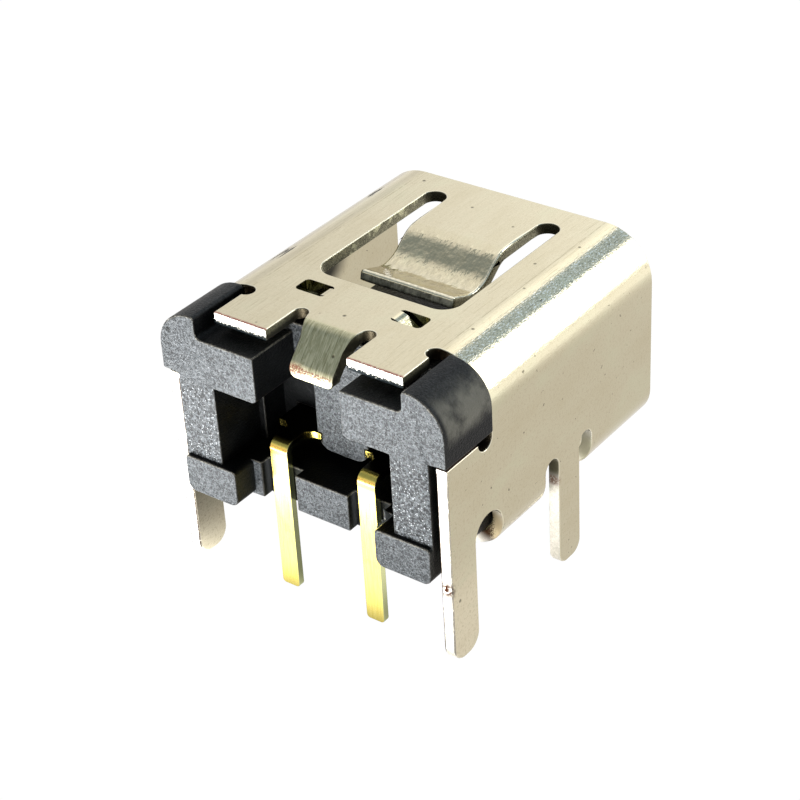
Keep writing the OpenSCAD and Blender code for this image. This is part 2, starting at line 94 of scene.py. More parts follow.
# %% Wrap a socket
class Wire:
    """One output of a node tree. Arithmetic on it adds Math nodes to the same tree."""

    def __init__(self, socket):
        self.socket = socket

    def node(self, kind, settings=None, sockets=None, output=0):
        """Adds a node of this kind, sets its settings, then fills its sockets by name or identifier."""
        tree = self.socket.id_data
        made = tree.nodes.new(kind)
        for name, value in (settings or {}).items():
            setattr(made, name, value)
        for name, value in (sockets or {}).items():
            target = next(s for s in made.inputs if name in (s.identifier, s.name))
            if isinstance(value, Wire):
                tree.links.new(value.socket, target)
            else:
                target.default_value = value
        outputs = {s.identifier: s for s in made.outputs}
        return Wire(outputs[output] if isinstance(output, str) else made.outputs[output])

    def math(self, operation, *others):
        """One Math node on this value and up to two more."""
        values = dict(zip(("Value", "Value_001", "Value_002"), (self, *others)))
        return self.node("ShaderNodeMath", {"operation": operation}, values)

    def __add__(self, other):
        return self.math("ADD", other)

    def __sub__(self, other):
        return self.math("SUBTRACT", other)

    def __mul__(self, other):
        return self.math("MULTIPLY", other)

    def __rsub__(self, other):
        return (self * -1.0) + other

    __radd__ = __add__
    __rmul__ = __mul__

    def step(self, start, end):
        """A soft step: 0 at start, 1 at end, level at both ends."""
        sockets = {"Value": self, "From Min": start, "From Max": end}
        return self.node("ShaderNodeMapRange", {"interpolation_type": "SMOOTHSTEP"}, sockets)

    def between(self, low, high, soft):
        """1 between two values, falling to 0 over a soft length outside each."""
        return self.step(low - soft, low) * (1 - self.step(high, high + soft))

    def mix(self, first, second):
        """A colour that goes from first to second as this mask goes from 0 to 1."""
        sockets = {"Factor_Float": self, "A_Color": first, "B_Color": second}
        return self.node("ShaderNodeMix", {"data_type": "RGBA"}, sockets, "Result_Color")

    def stretch(self, x, y, z):
        """This vector, multiplied by three numbers."""
        sockets = {"Vector": self, "Vector_001": (x, y, z)}
        return self.node("ShaderNodeVectorMath", {"operation": "MULTIPLY"}, sockets)

    def parts(self):
        """The x, y and z of this vector as three values."""
        split = self.node("ShaderNodeSeparateXYZ", None, {"Vector": self})
        return [Wire(s) for s in split.socket.node.outputs]

    def near(self, centre, reach):
        """A mask round a point: 1 at it, falling to 0 where the reach, one length per axis, ends."""
        sockets = {"Vector": self, "Vector_001": centre}
        away = self.node("ShaderNodeVectorMath", {"operation": "SUBTRACT"}, sockets)
        away = away.stretch(*(1 / r for r in reach))
        far = away.node("ShaderNodeVectorMath", {"operation": "LENGTH"}, {"Vector": away}, "Value")
        return 1 - far.step(0.3, 1.0)

    def noise(self, scale, detail=2.0, roughness=0.5):
        """Smooth noise about 0.5 on this vector."""
        sockets = {"Vector": self, "Scale": scale, "Detail": detail, "Roughness": roughness}
        return self.node("ShaderNodeTexNoise", None, sockets, "Fac")

    def cells(self, scale):
        """Two values of many small cells: how far it is to the cell's point, and a number of its own."""
        far = self.node("ShaderNodeTexVoronoi", None, {"Vector": self, "Scale": scale}, "Distance")
        return far, Wire(far.socket.node.outputs["Color"]).parts()[0]

    def mark(self, name):
        """The value of a face attribute."""
        return self.node("ShaderNodeAttribute", {"attribute_name": name}, None, "Fac")


print("socket wrapper with", len([m for m in dir(Wire) if not m.startswith("__")]), "named methods")


# %% Start a material and fill its sockets
def finish_start(name):
    """A new material, its shader, and Object coordinates in millimetres."""
    material = bpy.data.materials.new(name)
    material.use_nodes = True
    nodes = material.node_tree.nodes
    place = Wire(nodes.new("ShaderNodeTexCoord").outputs["Object"])
    return material, nodes["Principled BSDF"], place.stretch(1 / MM, 1 / MM, 1 / MM)


def plug_in(shader, **sockets):
    """Links wires to the shader's sockets, and sets plain values on them."""
    for name, value in sockets.items():
        target = shader.inputs[name.replace("_", " ")]
        if isinstance(value, Wire):
            shader.id_data.links.new(value.socket, target)
        else:
            target.default_value = value


def grey(level, warmth=0.0):
    """A linear colour near grey: warmth adds to red and takes from blue."""
    return (level * (1 + warmth), level, level * (1 - warmth), 1.0)


print("a plain grey is", grey(0.5))

# %% [markdown]
# ## The stage
# The connector stands on white paper that curves up behind it, so that every view has the same plain
# ground. Shiny metal shows its surroundings more than its own colour, so what it reflects is a second
# surface, a light table that glows strongly towards the rear and is dim below the part. Blender lets each
# object say which rays see it: the paper is for the camera, the table for everything else.


# %% Lay the paper
def grid_mesh(name, points):
    """A mesh on a grid of points with rows, columns and three lengths in millimetres: one quad per cell."""
    rows, columns = points.shape[:2]
    corner = np.arange(rows * columns).reshape(rows, columns)
    quads = np.stack([corner[:-1, :-1], corner[:-1, 1:], corner[1:, 1:], corner[1:, :-1]], axis=-1)
    mesh = bpy.data.meshes.new(name)
    mesh.from_pydata((points.reshape(-1, 3) * MM).tolist(), [], quads.reshape(-1, 4).tolist())
    return mesh


def paper_sweep(half, flat_r, rise_r, count=81):
    """A sheet of paper over a square: its height is 0 out to a radius, and beyond it the square of the
    distance past that radius, divided by a length."""
    across, along = np.meshgrid(np.linspace(-half, half, count), np.linspace(-half, half, count))
    past = np.maximum(np.hypot(across, along) - flat_r, 0.0)
    return np.stack([across, along, past ** 2 / rise_r], axis=-1)


def glowing(name, mesh):
    """A stage object whose material gives light and reflects nothing.
    Beside it come the material's shader and its Object coordinates in millimetres."""
    thing = bpy.data.objects.new(name, mesh)
    scene.collection.objects.link(thing)
    material, shader, place = finish_start(name)
    mesh.materials.append(material)
    plug_in(shader, Base_Color=grey(0.0), Roughness=1.0, Specular_IOR_Level=0.0, Emission_Strength=1.0)
    return thing, shader, place


PAPER_HALF, PAPER_FLAT_R, PAPER_RISE_R = 500.0, 150.0, 120.0
PAPER_GLOW = 1.02
sheet = grid_mesh("paper_sweep", paper_sweep(PAPER_HALF, PAPER_FLAT_R, PAPER_RISE_R))
paper, shader, _ = glowing("paper_sweep", sheet)
plug_in(shader, Emission_Color=grey(PAPER_GLOW))
for ray in ("diffuse", "glossy", "transmission", "volume_scatter", "shadow"):
    setattr(paper, "visible_" + ray, False)
print("paper is", 2 * PAPER_HALF, "mm wide and rises beyond a radius of", PAPER_FLAT_R, "mm")

# %% Lay the light table
TABLE_HALF = 300.0
TABLE_FRONT = 0.93
TABLE_FAR = 1.75
TABLE_NEAR = 2.5
TABLE_REAR = 19.0
TABLE_BELOW = 0.25
table_corners = np.array([[[-1, -1, 0], [1, -1, 0]], [[-1, 1, 0], [1, 1, 0]]]) * TABLE_HALF
table, shader, place = glowing("light_table", grid_mesh("light_table", table_corners))
table.visible_camera = False
along_x, along_y, _ = place.parts()
ahead = along_x * 0.62 + along_y * 0.78
rearward = along_x * -0.3 + along_y * -0.95
below = along_x.step(-5.1, -1.2) * (1 - along_x.step(1.4, 3.0)) * along_y.between(-3.0, 4.0, 1.6)
glow = ahead.step(12.0, 40.0).mix(grey(TABLE_FRONT, 0.03), grey(TABLE_FAR))
behind = along_x.between(-9.0, 7.0, 4.5)
glow = (rearward.step(2.5, 5.5) * behind).mix(glow, grey(TABLE_NEAR))
glow = (rearward.step(6.0, 12.5) * behind).mix(glow, grey(TABLE_REAR))
glow = below.mix(glow, grey(TABLE_BELOW))
plug_in(shader, Emission_Color=glow)
print("light table glows", TABLE_FRONT, "in front and", TABLE_REAR, "behind")

# %% [markdown]
# ## The room
# A lamp would leave small hard spots on bent metal, so the room above the table is painted by direction
# instead. The roof mirrors a pale wall in front of the mouth. A sharp window on the right draws the white
# band along the bend, and the bluer gap between wall and window draws the darker band beside it. Low walls in
# front and behind brighten the legs and the cut ends, a patch straight above lights the roof for a view from
# the top, and the rest of the ceiling is dim. Colours are linear light: 1 is white, and more is a lamp.

# %% Colours of the room
CEILING = (0.36, 0.41, 0.44, 1.0)
WALL_LEFT = (0.93, 0.92, 0.93, 1.0)
WALL_PALE = (2.1, 2.1, 2.1, 1.0)
WALL_GAP = (0.66, 0.8, 0.93, 1.0)
LOW_FRONT = (1.15, 1.13, 1.1, 1.0)
LOW_REAR_LEFT = (1.3, 1.28, 1.25, 1.0)
LOW_REAR_RIGHT = (0.9, 0.9, 0.92, 1.0)
OVERHEAD = (0.92, 0.91, 0.89, 1.0)
WINDOW = (5.0, 5.0, 5.0, 1.0)

# %% Paint the room by direction
room = bpy.data.worlds.new("room")
room.use_nodes = True
scene.world = room
tree = room.node_tree
direction = Wire(tree.nodes.new("ShaderNodeTexCoord").outputs["Generated"])
to_right, to_front, to_top = direction.parts()
front_wall = to_front.step(-0.31, 0.16) * (1 - to_top.step(0.86, 0.9))
wall_paint = to_right.step(-0.75, -0.15).mix(WALL_LEFT, WALL_PALE)
wall_paint = to_right.step(-0.19, -0.16).mix(wall_paint, WALL_GAP)
window = to_right.step(0.28, 0.3) * to_front.between(0.58, 0.74, 0.1) * to_top.step(-0.03, 0.15)
walls = front_wall.mix(CEILING, wall_paint)
low_front = to_front.step(0.2, 0.5) * (1 - to_top.step(0.1, 0.35))
walls = low_front.mix(walls, LOW_FRONT)
low_rear = (1 - to_front.step(-0.4, -0.1)) * (1 - to_top.step(0.34, 0.5))
low_paint = to_right.step(-0.9, 0.9).mix(LOW_REAR_LEFT, LOW_REAR_RIGHT)
walls = low_rear.mix(walls, low_paint)
walls = to_top.step(0.91, 0.96).mix(walls, OVERHEAD)
walls = window.mix(walls, WINDOW)
plug_in(tree.nodes["Background"], Color=walls)
scene.view_settings.view_transform = "Standard"
print("room painted with", len(tree.nodes), "nodes")

# %% [markdown]
# ## Softened copies
# No stamped or moulded edge is perfectly sharp, and a thin round edge is what catches light. The CAD node's
# mesh is loose triangles, so a copy is merged, its flat triangles are joined into whole faces, and a Bevel
# modifier rounds the outer edges. Weighted normals keep the flats flat. The bevel puts the faces that it
# makes in the second material slot, so that a finish can find them later, and for that the copy needs two
# slots, even empty ones. The work is done in millimetres, because the modifier's own tolerances are too
# coarse for edges of a few hundredths in metres.


# %% Merge, soften and settle a copy of a node
MERGE_D = 0.006
FLAT_TURN, SHARP_TURN, FOLD_TURN = 0.5, 35, 150
BEVEL_SLOT = 1


def softened(node_name, piece_name, round_r, kept_sharp=None, worn=None, worn_r=0.0):
    """A copy of a CAD node with its outer edges rounded by round_r millimetres.
    An edge is rounded where its faces turn outwards by more than SHARP_TURN degrees. Two functions of the
    edges' middles choose others: kept_sharp names tight corners, and worn the edges rounded by worn_r."""
    shape = bmesh.new()
    shape.from_mesh(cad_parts[node_name].data)
    bmesh.ops.scale(shape, vec=(1 / MM,) * 3, verts=shape.verts)
    bmesh.ops.remove_doubles(shape, verts=shape.verts, dist=MERGE_D)
    flat = math.radians(FLAT_TURN)
    bmesh.ops.dissolve_limit(shape, angle_limit=flat, verts=shape.verts, edges=shape.edges)
    middles = np.array([(e.verts[0].co + e.verts[1].co) / 2 for e in shape.edges])
    turns = np.degrees([e.calc_face_angle_signed(0.0) for e in shape.edges])
    rounded = (turns > SHARP_TURN) & (turns < FOLD_TURN)
    if kept_sharp is not None:
        rounded &= ~kept_sharp(*middles.T)
    radii = np.full(len(turns), round_r)
    if worn is not None:
        radii[worn(*middles.T)] = worn_r
    weight = shape.edges.layers.float.new("bevel_weight_edge")
    for edge, is_round, turn, radius in zip(shape.edges, rounded, turns, radii):
        edge[weight] = float(is_round * radius / radii.max())
        edge.smooth = bool(is_round or abs(turn) <= SHARP_TURN)
    for face in shape.faces:
        face.smooth = True
    mesh = bpy.data.meshes.new(piece_name)
    shape.to_mesh(mesh)
    shape.free()

    for _ in range(BEVEL_SLOT + 1):
        mesh.materials.append(None)
    blank = bpy.data.objects.new(piece_name + "_blank", mesh)
    scene.collection.objects.link(blank)
    bevel = blank.modifiers.new("edge", "BEVEL")
    bevel.width, bevel.segments = radii.max(), 2
    bevel.limit_method, bevel.use_clamp_overlap = "WEIGHT", False
    bevel.material = BEVEL_SLOT
    settle = blank.modifiers.new("flats", "WEIGHTED_NORMAL")
    settle.weight, settle.keep_sharp = 80, True
    done = bpy.data.meshes.new_from_object(blank.evaluated_get(bpy.context.evaluated_depsgraph_get()))
    bpy.data.objects.remove(blank)
    done.transform(Matrix.Scale(MM, 4))
    done.name = piece_name

    piece = bpy.data.objects.new(piece_name, done)
    scene.collection.objects.link(piece)
    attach(piece, "root")
    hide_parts(node_name)
    print(piece_name, "has", len(done.polygons), "faces,", int(rounded.sum()), "edges rounded")
    return piece


# %% [markdown]
# ## Marks and finishes
# A finish has to know which faces the bevel made, which ones a punch cut and where fibres show. Painting a
# picture could say it, but a picture needs a map of the surface. One number per face, kept as an attribute
# that the material reads by name, needs none. All patterns read Object coordinates, so they stay on the part.


# %% Measure and mark faces
UP_SHARE = 0.25


def face_table(piece):
    """The middle of each face in millimetres and its normal, as six arrays."""
    table = np.zeros((2, len(piece.data.polygons) * 3), np.float32)
    piece.data.polygons.foreach_get("center", table[0])
    piece.data.polygons.foreach_get("normal", table[1])
    return [*(table[0].reshape(-1, 3) / MM).T, *table[1].reshape(-1, 3).T]


def mark_faces(piece, name, values):
    """Keeps one value per face as an attribute that a material can read."""
    mark = piece.data.attributes.new(name, "FLOAT", "FACE")
    mark.data.foreach_set("value", np.asarray(values, np.float32))


def mark_edges(piece, side_share=1.0):
    """Keeps the faces that the bevel made as the attribute edge, and puts every face in one slot.
    A rounded edge that does not look up gets the value side_share."""
    slots = np.zeros(len(piece.data.polygons), np.int32)
    piece.data.polygons.foreach_get("material_index", slots)
    mark_faces(piece, "edge", (slots > 0) * np.where(face_table(piece)[5] > UP_SHARE, 1.0, side_share))
    piece.data.polygons.foreach_set("material_index", np.zeros_like(slots))
    print(int((slots > 0).sum()), "faces of", piece.name, "are rounded edges")


# %% Give a piece its finish
def dress(piece, material):
    """Gives a piece one material."""
    piece.data.materials.clear()
    piece.data.materials.append(material)
    print(piece.name, "wears", material.name, "with", len(material.node_tree.nodes), "nodes")


# %% [markdown]
# ## The plated shell
# The shell is stamped from strip, folded and plated with nickel, which leaves a warm pale metal with fine
# lines along the rolling direction. A punch shears the upper part of a cut edge bright and breaks the
# rest, so each cut face has a bright band and a dark rough one. The faces that a punch made are told from
# the strip's own two skins by where they are and which way they face.


# %% Soften the shell and mark its cut faces
def shell_tight_corners(x, y, z):
    """The barb windows and the inside of the tab's end, where rounds would run into each other."""
    barbs = (np.abs(x) > 0.9) & (np.abs(x) < 1.85) & (y > -2.1) & (y < -1.45) & (z > 6.5)
    tab_end = (np.abs(x) < 0.65) & (y > -3.6) & (y < -3.3) & (z < 6.7)
    return barbs | tab_end


def shell_worn_edges(x, y, z):
    """The long edges and the end of the spring, which the punch drew over more than the rest."""
    return (np.abs(x) < 1.42) & (y > -0.35) & (y < 3.2) & (z > 6.6) & (z < 7.4)


def shell_cut_faces(x, y, z, nx, ny, nz):
    """Faces across the sheet: 1 on the ends that look to the rear, which are painted bright as a painted
    highlight of the light behind, and 0.5 on the walls of openings, the edges of walls and the tips, which
    are painted darker as painted shade. The mouth's rim is plated and is 0."""
    side = np.abs(x)
    tab = (side < 0.85) & (y < -2.7) & (z < 7.05)
    spring = (side < 1.45) & (y > -0.4) & (y < 3.4) & (z < 7.36)
    barbs = (side > 0.9) & (side < 1.85) & (y > -2.1) & (y < -1.45)
    ends = (np.abs(ny) > 0.8) & (y < 4.3) & ~tab & ~barbs
    openings = (z > 7.02) & (side < 2.75) & (np.abs(nz) < 0.4) & ~tab & ~barbs
    walls = (z > 3.03) & (z < 6.08) & (side > 3.6) & (np.abs(nx) < 0.5)
    edges = (tab | spring) & (np.abs(nx) > 0.7)
    tips = (nz < -0.7) & ((z < 0.4) | (tab & (z < 6.35)))
    rear_ends_lit = ends & (ny < -0.8) & ((z < 5.0) | (y < -3.5) | ((y > -0.5) & (y < 3.0)))
    return np.maximum(0.5 * (ends | openings | walls | edges | tips), rear_ends_lit)


EDGE_R, WORN_R = 0.035, 0.09
plated_shell = softened("shield_shell", "plated_shell", EDGE_R, shell_tight_corners, shell_worn_edges, WORN_R)
mark_edges(plated_shell)
cut_faces = shell_cut_faces(*face_table(plated_shell))
mark_faces(plated_shell, "cut", cut_faces)
print(int((cut_faces > 0).sum()), "faces of the shell are cut across the sheet")

# %% Colours of the clean plating
PLATE = (0.548, 0.499, 0.357, 1.0)
PLATE_LINES = (0.578, 0.527, 0.38, 1.0)
PLATE_LEGS_LIT = (0.72, 0.65, 0.48, 1.0)
PLATE_SPECKLE = (0.45, 0.4, 0.27, 1.0)
PLATE_CLOUD = (0.49, 0.432, 0.285, 1.0)
PLATE_CLEAR = (0.56, 0.545, 0.385, 1.0)
HAIRLINE = (0.33, 0.29, 0.18, 1.0)
CREASE = (0.3, 0.265, 0.165, 1.0)
EDGE_POLISH_AND_HIGHLIGHT = (0.8, 0.76, 0.62, 1.0)

# %% Plate the shell
ROOF_Z = 7.38
nickel, shader, place = finish_start("plated_nickel")
x, y, z = place.parts()
cut, edge = place.mark("cut"), place.mark("edge")
is_cut, rear_ends_lit = cut.step(0.2, 0.4), cut.step(0.6, 0.9)
lines = place.stretch(1.0, 0.03, 1.0).noise(30.0, 4.0, 0.6)
grain = place.stretch(1.0, 0.3, 1.0).noise(17.0, 3.0, 0.6)
clouds = place.stretch(1.0, 0.5, 1.0).noise(1.1, 4.0, 0.6)
crumbs = place.noise(26.0, 3.0, 0.6)
speckle = place.noise(13.0, 3.0, 0.6)
hairs = place.stretch(1.0, 0.02, 1.0).noise(42.0, 2.0, 0.5)
wide_x = x.math("ABSOLUTE")

on_roof = z.step(7.2, 7.35)
skin = (lines.step(0.3, 0.7) * on_roof).mix(PLATE, PLATE_LINES)
# The lower rear of the shell, the rear legs, is painted paler: a painted reflection of the bright floor
# beside them.
lower_legs_lit = (1 - z.step(1.6, 3.4)) * (1 - y.step(-3.0, -2.0))
skin = (lower_legs_lit * 0.8).mix(skin, PLATE_LEGS_LIT)
skin = (speckle.step(0.48, 0.75) * (0.65 - on_roof * 0.2)).mix(skin, PLATE_SPECKLE)
skin = (clouds.step(0.45, 0.75) * 0.4).mix(skin, PLATE_CLOUD)
skin = ((1 - clouds.step(0.3, 0.5)) * 0.5).mix(skin, PLATE_CLEAR)
skin = (hairs.step(0.6, 0.66) * wide_x.between(1.9, 2.9, 0.3) * 0.4).mix(skin, HAIRLINE)
crease = wide_x.between(2.69, 2.705, 0.012) * grain.step(0.35, 0.6) * on_roof
skin = (crease * 0.6).mix(skin, CREASE)
# Rounded edges are painted paler: partly polish, partly a painted highlight where the edges catch the light.
skin = (edge * 0.5).mix(skin, EDGE_POLISH_AND_HIGHLIGHT)
print("clean plating uses", len(nickel.node_tree.nodes), "nodes")

# %% [markdown]
# Wear, dirt and some painted light come next, one mask each: the tab is dulled by its tooling, the barb
# pockets hold grime, the left bend is scuffed, pits lie all over, and rust starts where the plating is cut.
# The right bend, where the plating was stretched, gets dark and pale flecks that are a painted reflection of
# that rough skin, and a painted shadow darkens the inner left wall.

# %% Colours of the worn plating
TAB_DARK = (0.29, 0.29, 0.17, 1.0)
TAB_PALE = (0.62, 0.6, 0.42, 1.0)
TAB_BLOTCH = (0.24, 0.23, 0.12, 1.0)
RUST = (0.1, 0.03, 0.008, 1.0)
GRIME_DARK = (0.14, 0.13, 0.07, 1.0)
GRIME_PALE = (0.36, 0.34, 0.19, 1.0)
SCRAPE_DARK = (0.2, 0.19, 0.13, 1.0)
SCRAPE_PALE = (0.66, 0.62, 0.5, 1.0)
SCUFF = (0.03, 0.026, 0.016, 1.0)
PIT = (0.07, 0.06, 0.035, 1.0)
WALL_SHADOW = (0.03, 0.028, 0.02, 1.0)
FLECK_PAINTED_DARK = (0.22, 0.22, 0.18, 1.0)
FLECK_PAINTED_GLINT = (0.95, 0.93, 0.86, 1.0)
SMUDGE = (0.2, 0.18, 0.11, 1.0)

# %% Wear the tab and the pockets
gritty = crumbs.step(0.35, 0.65)
tab = x.between(-0.75, 0.75, 0.05) * (1 - y.step(-2.98, -2.88)) * (1 - is_cut)
scratches = place.stretch(1.0, 0.06, 0.06).noise(34.0, 3.0, 0.7)
blotches = place.stretch(1.0, 0.4, 0.4).noise(9.0, 4.0, 0.7)
dulled = scratches.step(0.3, 0.7).mix(TAB_DARK, TAB_PALE)
dulled = (blotches.step(0.5, 0.62) * 0.5).mix(dulled, TAB_BLOTCH)
skin = (tab * 0.9).mix(skin, dulled)
rust = place.near((-0.45, -3.78, 6.52), (0.42, 0.3, 0.22)) * crumbs.step(0.37, 0.49)
rust = rust + tab * z.between(6.48, 6.56, 0.04) * crumbs.step(0.43, 0.53) * x.between(-0.7, 0.5, 0.2)
skin = rust.mix(skin, RUST)

pockets = wide_x.between(0.9, 1.85, 0.03) * y.between(-2.1, -1.45, 0.02) * (1 - z.step(7.34, 7.37))
scraped = x.between(0.9, 1.3, 0.15) * place.stretch(0.15, 1.0, 0.15).noise(22.0, 3.0, 0.7).step(0.35, 0.6)
grime = gritty.mix(GRIME_DARK, GRIME_PALE)
scrapes = scratches.step(0.35, 0.6).mix(SCRAPE_DARK, SCRAPE_PALE)
skin = pockets.mix(skin, scraped.mix(grime, scrapes))
print("with a worn tab and pockets it uses", len(nickel.node_tree.nodes))

# %% Scuff and pit the skin, and paint a shadow on the inner left wall
scuffs = place.near((-3.2, -0.75, 7.2), (0.3, 0.75, 0.35))
scuffs = scuffs + place.near((-3.2, 3.0, 7.18), (0.25, 0.6, 0.3))
scuffs = scuffs + place.near((-2.63, 0.4, 7.38), (0.07, 0.3, 0.2)) * 0.5
smears = place.stretch(1.0, 0.1, 1.0).noise(14.0, 4.0, 0.65)
scuffs = (smears + scuffs * 0.3).step(0.73, 0.82) * scuffs.step(0.05, 0.4)
skin = scuffs.mix(skin, SCUFF)
far, pick = place.cells(2.1)
far = far + (1 - pick) * 0.2
pits = 1 - far.step(0.05, 0.15)
pocks = place.noise(6.0, 2.0, 0.5).step(0.705, 0.755) * (1 - z.step(6.6, 7.0))
skin = (pits * 0.85 + pocks * 0.7).mix(skin, PIT)
# A painted shadow darkens the inner face of the left wall under the roof.
wall_shadow = place.near((-3.7, 1.35, 5.75), (0.4, 1.15, 0.85)) * (clouds * 0.5 + 0.75) * x.step(-3.85, -3.75)
skin = wall_shadow.mix(skin, WALL_SHADOW)
strain = wide_x.step(2.65, 2.95) * z.step(6.3, 6.8)
strained = x.between(3.05, 3.44, 0.04) * strain
flecks = place.stretch(1.0, 0.4, 1.0).noise(34.0, 2.0, 0.6)
# Dark and pale flecks on the right bend are a painted reflection of its stretched, rough plating.
skin = (flecks.step(0.54, 0.64) * strained * 0.75).mix(skin, FLECK_PAINTED_DARK)
skin = ((1 - flecks.step(0.36, 0.45)) * strained * 0.75).mix(skin, FLECK_PAINTED_GLINT)
spring = wide_x.between(0.0, 1.4, 0.02) * y.between(-0.15, 2.2, 0.3) * (1 - z.step(7.3, 7.36))
ripples = place.stretch(0.8, 0.5, 0.5).noise(5.0, 3.0, 0.55)
smudges = place.stretch(0.6, 1.0, 1.0).noise(6.0, 4.0, 0.7).step(0.55, 0.72)
smudges = smudges * spring * (1 - y.step(0.6, 1.1))
skin = (smudges * 0.7).mix(skin, SMUDGE)
print("with scuffs, pits and stains it uses", len(nickel.node_tree.nodes))

# %% [markdown]
# A cut face that looks to the rear is sheared, and it is painted bright as a painted highlight of the light
# behind. In the roof its lower part is broken and dark. The walls of the openings and the other cut faces are
# painted olive and darker, rough metal in painted shade. Near the reliefs, the small round notches that let
# the sheet fold, grease and rust collect.

# %% Colours of the cut faces
SHEAR_LIT_LOW = (0.76, 0.73, 0.64, 1.0)
SHEAR_LIT_HIGH = (0.93, 0.9, 0.82, 1.0)
BREAK_DARK = (0.012, 0.016, 0.018, 1.0)
LIP_DARK = (0.2, 0.195, 0.16, 1.0)
LIP_PALE = (0.7, 0.68, 0.56, 1.0)
CUT_SHADED_DARK = (0.14, 0.132, 0.085, 1.0)
CUT_SHADED_PALE = (0.34, 0.32, 0.22, 1.0)
REAR_BREAK = (0.05, 0.047, 0.035, 1.0)
TAB_FLANK = (0.045, 0.04, 0.026, 1.0)
WINDOW_WALL = (0.62, 0.6, 0.4, 1.0)
SLOT_END = (0.06, 0.055, 0.035, 1.0)
NOTCH_DARK = (0.03, 0.02, 0.012, 1.0)
LEG_ROOT = (0.2, 0.185, 0.12, 1.0)
FRONT_NOTCH = (0.68, 0.65, 0.47, 1.0)
BEND_RUST = (0.03, 0.013, 0.005, 1.0)
BEND_PALE = (0.42, 0.35, 0.22, 1.0)

# %% Finish the cut faces
depth = (ROOF_Z - z) + (crumbs - 0.5) * 0.26
in_roof = z.step(6.95, 7.05)
broken = depth.step(0.17, 0.21) * in_roof * wide_x.between(0.0, 2.8, 0.02)
spring_end = wide_x.between(0.0, 1.5, 0.02) * y.between(-0.4, 0.05, 0.02) * z.step(6.6, 6.7)
bright = gritty.mix(SHEAR_LIT_LOW, SHEAR_LIT_HIGH)
bright = broken.mix(bright, BREAK_DARK)
worn_lip = blotches.step(0.35, 0.65) * 0.6 + z.step(6.98, 7.08) * 0.6 + x.step(0.8, 1.3) * 0.3
bright = spring_end.mix(bright, worn_lip.mix(LIP_DARK, LIP_PALE))
dull = gritty.mix(CUT_SHADED_DARK, CUT_SHADED_PALE)
rear_break = depth.step(0.1, 0.2) * in_roof * (1 - y.step(-2.9, -2.7))
dull = rear_break.mix(dull, REAR_BREAK)
tab_flank = wide_x.between(0.4, 0.75, 0.05) * (1 - y.step(-3.0, -2.85)) * blotches.step(0.3, 0.5)
dull = (tab_flank * 0.8).mix(dull, TAB_FLANK)
window_wall = wide_x.between(1.9, 2.05, 0.02) * y.between(-1.2, 3.8, 0.1) * z.step(7.0, 7.05)
dull = (place.noise(2.6, 3.0, 0.7).step(0.5, 0.62) * window_wall).mix(dull, WINDOW_WALL)
slot_end = wide_x.between(1.3, 2.05, 0.02) * y.step(3.3, 3.5) * z.step(7.0, 7.05)
dull = (slot_end * 0.9).mix(dull, SLOT_END)
# Cut faces that look to the rear take the painted highlight, and the others the painted shade.
sheared = rear_ends_lit.mix(dull, bright)
print("with cut faces it uses", len(nickel.node_tree.nodes))

# %% Darken the notches
both_sides = place.node("ShaderNodeCombineXYZ", None, {"X": wide_x, "Y": y, "Z": z})
relief_holes = both_sides.near((3.85, -2.75, 5.55), (0.6, 0.6, 0.6))
relief_holes = relief_holes + both_sides.near((2.72, -2.5, 7.2), (0.5, 0.5, 0.5))
relief_holes = relief_holes + both_sides.near((0.97, -2.6, 7.2), (0.4, 0.45, 0.5)) * 0.85
sheared = relief_holes.mix(sheared, NOTCH_DARK)
leg_root = both_sides.near((3.83, 0.21, 3.15), (0.6, 0.2, 0.45))
sheared = leg_root.mix(sheared, LEG_ROOT)
front_relief = both_sides.near((3.85, 1.67, 2.75), (0.6, 0.25, 0.65))
sheared = (front_relief * 0.85).mix(sheared, FRONT_NOTCH)
floor_bend = both_sides.near((3.6, -2.15, 2.8), (0.9, 0.25, 0.9))
outward = wide_x + (crumbs - 0.5) * 0.5
bend_stain = outward.step(3.6, 3.8).mix(BEND_RUST, BEND_PALE)
sheared = floor_bend.mix(sheared, bend_stain)
metal = is_cut.mix(skin, sheared)
print("with notches it uses", len(nickel.node_tree.nodes))

# %% [markdown]
# Plating is thinnest on outer rims, so rust and grease draw a thin dark line along some of them. Along the
# backs of the rear legs the dark line is a painted shadow instead. Dirt is not metal: a metal seen along its
# surface turns white whatever its colour, so the dirt, and the painted shadow with it, also lowers Metallic.

# %% Colours of the rims
RING_DARK = (0.05, 0.013, 0.003, 1.0)
RING_RED = (0.2, 0.06, 0.016, 1.0)
WALL_RIM = (0.04, 0.013, 0.006, 1.0)
LEG_EDGE_SHADOW = (0.05, 0.03, 0.02, 1.0)
TONGUE_RIM = (0.3, 0.05, 0.035, 1.0)

# %% Rust the rims, paint a shadow on the rear legs and give the shell its gloss
rings = place.near((3.85, -4.2, 2.32), (0.3, 0.2, 0.3)) * speckle.step(0.38, 0.48)
metal = rings.mix(metal, RING_DARK)
rings = both_sides.near((3.83, 0.21, 2.72), (0.3, 0.15, 0.2)) * crumbs.step(0.35, 0.55) * 0.8
metal = rings.mix(metal, RING_RED)
wall_rim = z.step(5.562, 5.57) * (1 - z.step(5.6, 5.62)) * (1 - y.step(-3.0, -2.9)) * x.step(3.6, 3.65)
metal = (wall_rim * 0.9).mix(metal, WALL_RIM)
